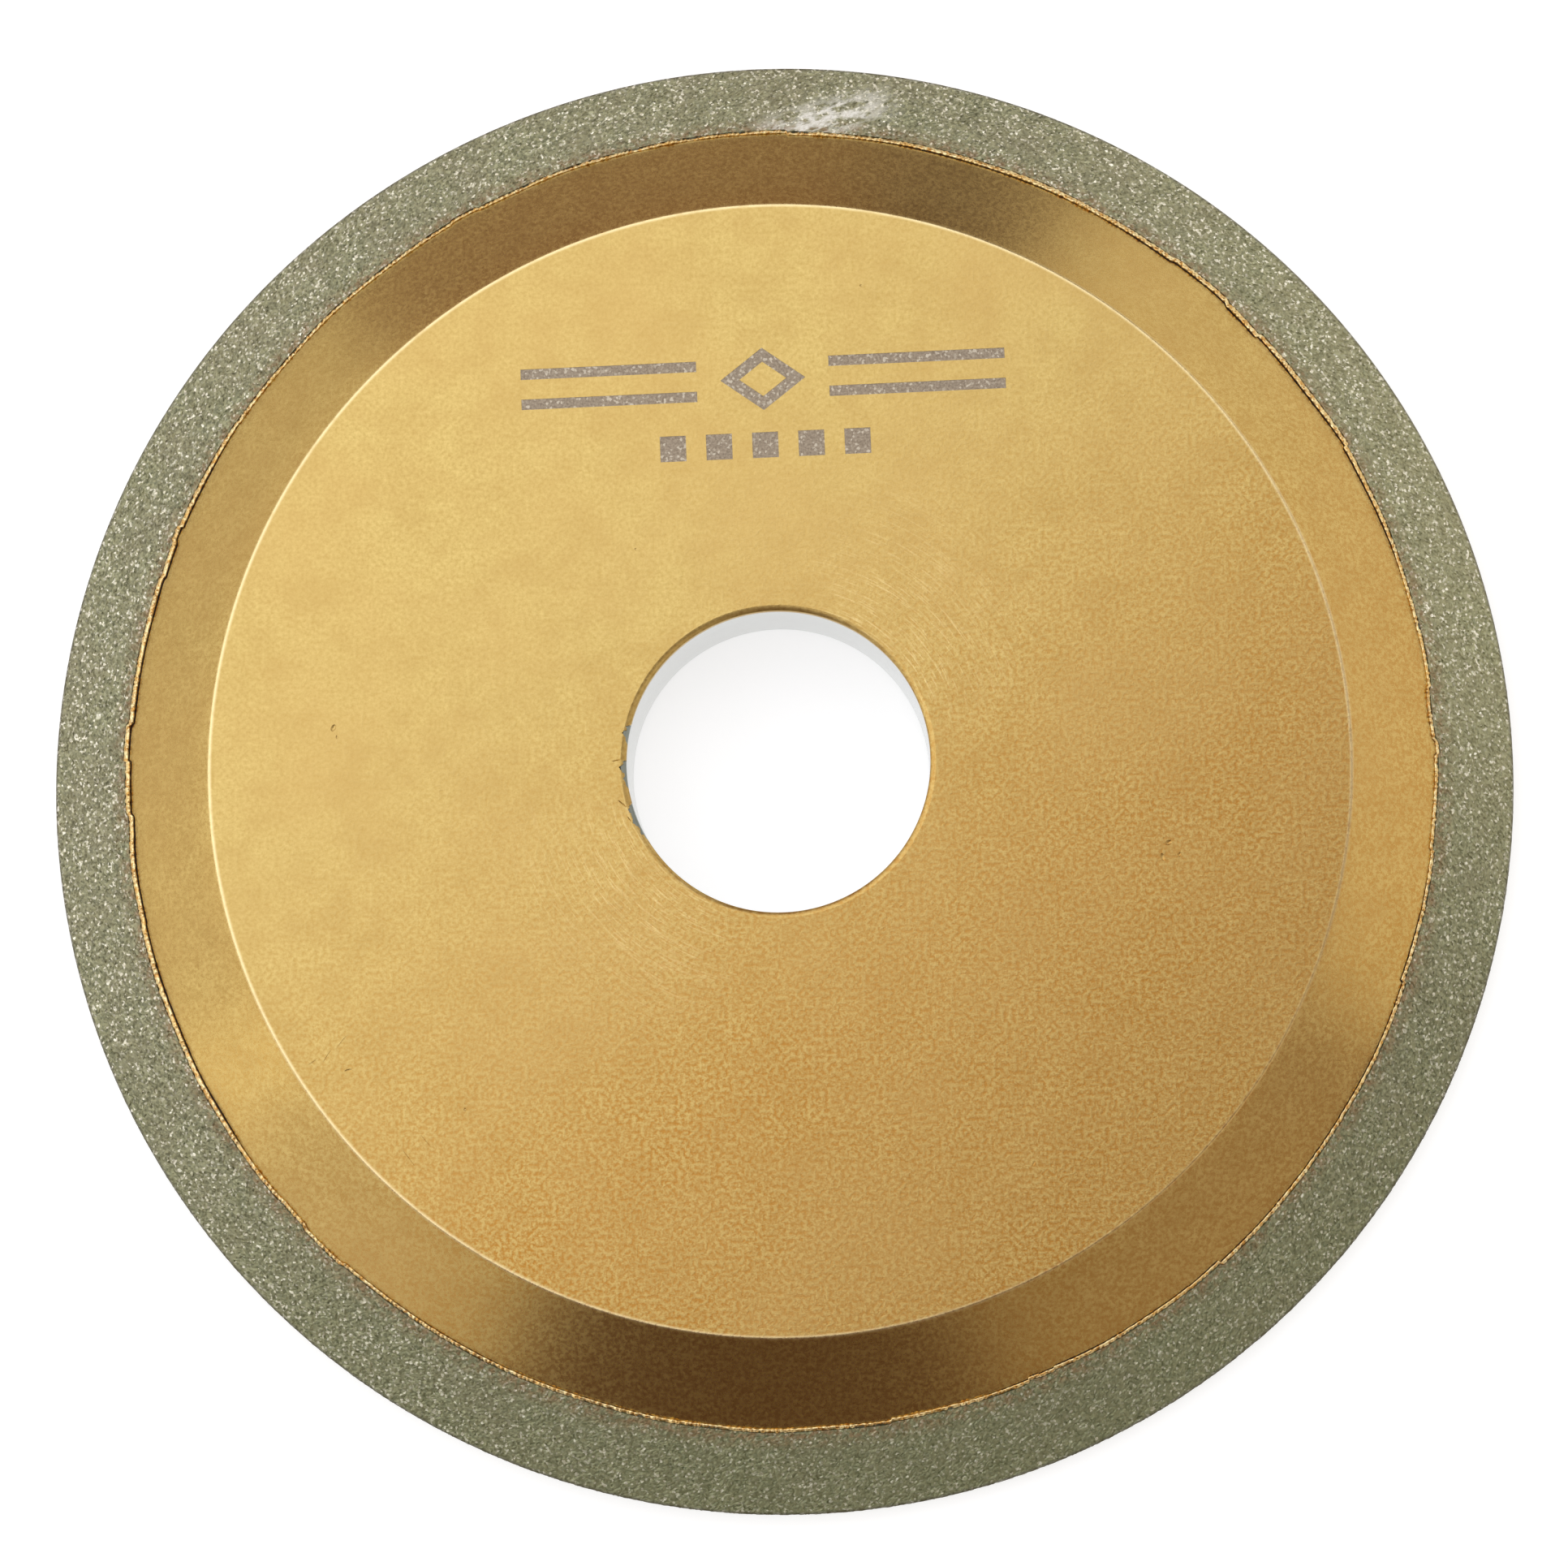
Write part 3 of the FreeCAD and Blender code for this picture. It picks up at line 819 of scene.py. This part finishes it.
def weld(mesh):
    """Joins the doubled corners that a cut leaves, and puts the faces in order."""
    bm = bmesh.new()
    bm.from_mesh(mesh)
    bmesh.ops.remove_doubles(bm, verts=bm.verts, dist=HAIR * MM)
    bmesh.ops.dissolve_degenerate(bm, edges=bm.edges, dist=HAIR * MM)
    bm.verts.index_update()
    count = len(bm.verts)

    def lowest_corners(face):
        first, second, third = sorted(corner.index for corner in face.verts)[:3]
        return (first * count + second) * count + third

    bm.faces.sort(key=lowest_corners)
    bm.to_mesh(mesh)
    bm.free()


def flatten_face(piece):
    """Shades the hub's flat face flat, so that its cuts leave no smears."""
    mesh = piece.data
    for face in mesh.polygons:
        lowest = min(mesh.vertices[corner].co.z for corner in face.vertices)
        face.use_smooth = lowest < (FACE_Z - HAIR) * MM


def build_front_film():
    """The gold lacquer, ragged at the band and chipped at the bore."""
    count = 2000
    angles = angles_of(count)
    outline, lengths = film_outline()
    corner = lengths[BREAK_POINTS - 1]
    hub_end = lengths[BREAK_POINTS]
    bevel_start = lengths[-2]
    ragged = 1.0 + 0.35 * ring_noise(angles, 150, 31) + 0.15 * ring_noise(angles, 500, 32)
    start = np.clip(chip_depth(angles) * corner * ragged, 0, corner + 0.3)
    first_ring = corner + 0.5
    edge = BAND_R - BEAD + band_edge(angles) - crack_width(angles)
    end_length = lengths[-1] - (outline[-1, 0] - edge) / math.cos(SLOPE)
    rows = []
    for length in lengths[:BREAK_POINTS]:
        rows.append(start + (corner - start) * (length / corner))
    for length in np.linspace(first_ring, hub_end, 6):
        rows.append(np.full(count, length))
    for length in lengths[BREAK_POINTS + 1 : -1]:
        rows.append(np.full(count, length))
    for share in (0.3, 0.6, 0.85, 0.96, 0.985, 1.0):
        rows.append(bevel_start + (end_length - bevel_start) * share)
    radii, heights = lay_along(outline, lengths, np.array(rows))
    # The last two rows droop, so that the film's ragged edge is rounded over.
    heights[-1] -= 0.04
    heights[-2] -= 0.01
    # The underside follows the steel from the film's edge back to the bore.
    beside = 0.3
    bore_r = radii[0]
    chamfer_z = np.minimum(STEEL_Z, STEEL_Z - CHAMFER + (bore_r - BORE_R))
    under = [
        (radii[-1], bevel_z(radii[-1])),
        (HUB_R + beside, bevel_z(HUB_R + beside)),
        (HUB_R - beside, STEEL_Z),
        (np.maximum(bore_r, CHAMFER_R + 0.01), STEEL_Z),
        (bore_r, chamfer_z),
    ]
    radii = np.vstack([radii] + [np.broadcast_to(radius, count) for radius, height in under])
    heights = np.vstack([heights] + [np.broadcast_to(height, count) for radius, height in under])
    piece = closed_ring("gold_film_front", radii[::-1], heights[::-1])
    cut_film(piece)
    sharpen(piece, 35)
    flatten_face(piece)
    return finish_piece(piece, "lacquer_front", GOLD)


def build_lip():
    """The ragged, beaded ridge between lacquer and crystals."""
    count = 3600
    angles = angles_of(count)
    stray = band_edge(angles)
    jag = 0.05 * ring_noise(angles, 700, 41)
    jag_out = 0.06 * ring_noise(angles, 600, 42)
    inner = BAND_R - BEAD + stray + jag
    outer = band_start(angles) + jag_out
    width = outer - inner
    beads = np.abs(ring_noise(angles, 620, 44))
    crest = 0.14 + 0.09 * bead_fullness(angles)
    crest = crest + 0.04 * ring_noise(angles, 90, 43) + 0.22 * beads
    shares = (0.0, 0.0, 0.10, 0.35, 0.62, 0.88, 1.0, 1.0)
    depths = (0.0, 0.30, 0.84, 1.0, 1.04, 0.95, 0.6, 0.0)
    radii = np.array([inner + width * share for share in shares])
    heights = np.array([bevel_z(r, crest * depth) for r, depth in zip(radii, depths)])
    piece = closed_ring("lip_bevel", radii[::-1], heights[::-1])
    return finish_piece(piece, "plating_lip_bevel", LIP)


def build_back_lip():
    """The smaller ridge on the back."""
    count = 1200
    angles = angles_of(count)
    inner = BACK_BAND_R - LIP_WIDTH + 0.05 * ring_noise(angles, 60, 51)
    outer = np.full(count, BACK_BAND_R)
    drop = RECESS_Z - bottom_of("plating_lip_back")
    crest = drop * (0.85 + 0.15 * ring_noise(angles, 200, 52))
    shares = (0.0, 0.15, 0.5, 0.85, 1.0)
    depths = (0.0, 0.7, 1.0, 0.8, 0.0)
    radii = np.array([inner + (outer - inner) * share for share in shares])
    heights = np.array([RECESS_Z - crest * depth for depth in depths])
    piece = closed_ring("lip_back", radii, heights)
    return finish_piece(piece, "plating_lip_back", LIP)


def build_back_film():
    """The lacquer on the back, between seat and plated band."""
    count = 720
    angles = angles_of(count)
    droop, rounding, rings = 0.04, 0.05, 30
    inner = SEAT_R + 0.15 + 0.08 * ring_noise(angles, 60, 61)
    outer = BACK_BAND_R - LIP_WIDTH - TUCK + 0.02 * ring_noise(angles, 90, 62)
    section = [(inner, BACK_FILM_Z + droop), (inner + rounding, BACK_FILM_Z)]
    for radius in np.linspace(SEAT_R + 1, BACK_BAND_R - 1.5, rings):
        section.append((np.full(count, radius), BACK_FILM_Z))
    section += [(outer - rounding, BACK_FILM_Z), (outer, BACK_FILM_Z + droop)]
    section += [(outer, RECESS_Z), (inner, RECESS_Z)]
    radii = np.array([radius for radius, height in section])
    heights = np.array([np.full(count, height) for radius, height in section])
    piece = closed_ring("gold_film_back", radii, heights)
    sharpen(piece, 35)
    return finish_piece(piece, "lacquer_back", GOLD)


JITTER = 0.36  # how far a crystal's corner strays from its grid, in grid steps


def crystals(rows, count, seed):
    """A jittered grid of crystal tips and hollows on a ring.

    Gives each point's height as a share of the crystals' own height, its place
    across the ring from 0 to 1, and its angle. The first and last rows stay
    straight across, where the next piece begins. The last two rows of angles
    are for the underside.
    """
    rng = np.random.default_rng(seed)
    tips = rng.uniform(0.0, 1.0, (rows, count))
    tips = np.where(tips > 0.45, 0.55 + 0.45 * rng.uniform(size=tips.shape), 0.25 * tips)
    along = rng.uniform(-JITTER, JITTER, tips.shape)
    across = rng.uniform(-JITTER, JITTER, tips.shape)
    share = (np.arange(rows)[:, None] + across) / (rows - 1)
    share[0] = 0
    share[-1] = 1
    stagger = 0.5 * (np.arange(rows) % 2)[:, None]
    turn = angles_of(count)[None, :] + (along + stagger) * 2 * math.pi / count
    return 0.1 + 0.9 * tips, share, np.vstack([turn, turn[-1], turn[0]])


def build_bevel_grit():
    """The crystals on the bevel, facet by facet."""
    count, rows = 1950, 44
    inner = band_start(angles_of(count)) + TUCK
    outer = np.full(count, WHEEL_R - EDGE_GAP)
    tips, share, turn = crystals(rows, count, 71)
    radii = inner + (outer - inner) * share
    depth = BOND + GRIT * tips
    depth[-1] = BOND + TUCK
    heights = bevel_z(radii, depth)
    base_r = np.vstack([radii[-1] - TUCK, radii[0]])
    radii = np.vstack([radii, base_r])
    heights = np.vstack([heights, bevel_z(base_r, BOND - SUNK)])
    piece = closed_ring("grit_bevel", radii[::-1], heights[::-1], turn[::-1], smooth=False)
    return finish_piece(piece, "diamond_grit_bevel", GRITTY)


def build_rim_grit():
    """The crystals round the rim, with its worn, rounded edges."""
    count, rows = 1950, 9
    low = GRIT_BACK_Z + 0.03
    high = bevel_z(WHEEL_R - EDGE_GAP, BOND + TUCK)
    tips, share, turn = crystals(rows, count, 72)
    heights = low + (high - low) * share
    edge = np.sin(np.clip(share, 0, 1) * math.pi) ** 0.35
    radii = BOND_R + GRIT * tips * (0.35 + 0.65 * edge)
    radii = np.minimum(radii, WHEEL_R)
    radii = np.vstack([radii, np.full((2, count), BOND_R - SUNK)])
    heights = np.vstack([heights, heights[-1], heights[0]])
    piece = closed_ring("grit_rim", radii, heights, turn, smooth=False)
    return finish_piece(piece, "diamond_grit_rim", GRITTY)


def build_back_grit():
    """The crystals on the back."""
    count, rows = 1560, 46
    inner = np.full(count, BACK_BAND_R + TUCK)
    outer = np.full(count, WHEEL_R - EDGE_GAP)
    tips, share, turn = crystals(rows, count, 73)
    radii = inner + (outer - inner) * share
    heights = BOND_BACK_Z - GRIT * tips
    base_z = np.full((2, count), BOND_BACK_Z + 0.05)
    radii = np.vstack([radii, radii[-1], radii[0]])
    heights = np.vstack([heights, base_z])
    piece = closed_ring("grit_back", radii, heights, turn, smooth=False)
    return finish_piece(piece, "diamond_grit_back", GRITTY)


build_core()
build_bond()
build_front_film()
build_lip()
build_back_lip()
build_back_film()
build_bevel_grit()
build_rim_grit()
build_back_grit()
mark = bpy.data.objects["face_mark"]
mark.material_slots[0].material = MARK


# --------------------------------------------------------------------- stage


def build_floor():
    """A wide board just under the wheel."""
    size = 4.0
    mesh = bpy.data.meshes.new("floor")
    corners = [(-size, -size, 0), (size, -size, 0), (size, size, 0), (-size, size, 0)]
    mesh.from_pydata(corners, [], [(0, 1, 2, 3)])
    floor = bpy.data.objects.new("floor", mesh)
    bpy.context.scene.collection.objects.link(floor)
    floor.location.z = cad_box[0][2] - 0.0001
    mesh.materials.append(pale_floor())


LIGHTS = (  # name, azimuth, elevation, distance, width and height, radiance, colour
    ("key_above", 142, 64, 1.2, (1.9, 1.32), 1.64, (0.97, 1.02, 1.1)),
    ("left_box", 166, 25, 0.9, (1.28, 0.44), 0.91, (1.0, 0.98, 0.93)),
    ("low_left_box", 219, 25, 0.9, (0.62, 0.44), 0.95, (0.98, 1.0, 1.05)),
    ("right_box", 25, 24, 0.9, (1.54, 0.42), 1.1, (1.0, 0.99, 0.96)),
    ("fill_box", 314, 34, 0.9, (0.7, 0.76), 0.44, (1.0, 0.93, 0.86)),
    ("warm_box", 106, 24, 0.9, (0.7, 0.42), 0.20, (1.0, 0.52, 0.22)),
    ("edge_box", 4, 53, 0.9, (1.1, 0.36), 0.75, (1.0, 0.99, 0.95)),
)


def softbox(name, azimuth, elevation, reach, size, radiance, colour):
    """A soft rectangular light aimed at the wheel, in metres and degrees."""
    light = bpy.data.lights.new(name, "AREA")
    light.shape = "RECTANGLE"
    light.size, light.size_y = size
    light.energy = radiance * math.pi * size[0] * size[1]
    light.color = colour
    lamp = bpy.data.objects.new(name, light)
    bpy.context.scene.collection.objects.link(lamp)
    turn = math.radians(azimuth)
    tilt = math.radians(elevation)
    away = Vector((math.cos(turn) * math.cos(tilt), math.sin(turn) * math.cos(tilt), math.sin(tilt)))
    lamp.location = away * reach
    lamp.rotation_euler = (-away).to_track_quat("-Z", "Y").to_euler()


def build_room():
    """A dim warm room whose walls are pale near the horizon."""
    world = bpy.data.worlds.new("studio")
    bpy.context.scene.world = world
    world.use_nodes = True
    tree = world.node_tree
    # Generated coordinates run along the ray, so that Z is the sine of its climb.
    where = tree.nodes.new("ShaderNodeTexCoord")
    split = tree.nodes.new("ShaderNodeSeparateXYZ")
    tree.links.new(where.outputs["Generated"], split.inputs[0])
    climb = tree.nodes.new("ShaderNodeMapRange")
    climb.inputs["From Min"].default_value = 0.10
    climb.inputs["From Max"].default_value = 0.17
    tree.links.new(split.outputs["Z"], climb.inputs["Value"])
    tint = tree.nodes.new("ShaderNodeMix")
    tint.data_type = "RGBA"
    tint.inputs[6].default_value = (0.72, 0.70, 0.67, 1)
    tint.inputs[7].default_value = (0.14, 0.085, 0.045, 1)
    tree.links.new(climb.outputs[0], tint.inputs[0])
    tree.links.new(tint.outputs[2], tree.nodes["Background"].inputs[0])


LENS = 88.2  # focal length in millimetres
SENSOR = 36.0
CAMERA_AT = Vector((0.1493, -0.6990, 5.0820))  # from the hub, in wheel radii
AIM_AT = Vector((0.0078, -0.0277, 0.0))


def build_camera():
    """Almost face-on, a little from the lower right of the picture."""
    camera = bpy.data.cameras.new("camera")
    camera.lens = LENS
    camera.sensor_width = SENSOR
    view = bpy.data.objects.new("camera", camera)
    bpy.context.scene.collection.objects.link(view)
    hub = Vector((0, 0, FACE_Z * MM))
    reach = WHEEL_R * MM
    view.location = hub + reach * CAMERA_AT
    aim = hub + reach * AIM_AT
    back = (view.location - aim).normalized()
    side = Vector((0, 1, 0)).cross(back).normalized()
    up = back.cross(side)
    view.matrix_world = Matrix(
        (
            (side.x, up.x, back.x, view.location.x),
            (side.y, up.y, back.y, view.location.y),
            (side.z, up.z, back.z, view.location.z),
            (0, 0, 0, 1),
        )
    )
    bpy.context.scene.camera = view


build_floor()
for row in LIGHTS:
    softbox(*row)
build_room()
build_camera()
bpy.context.scene.view_settings.view_transform = "Standard"
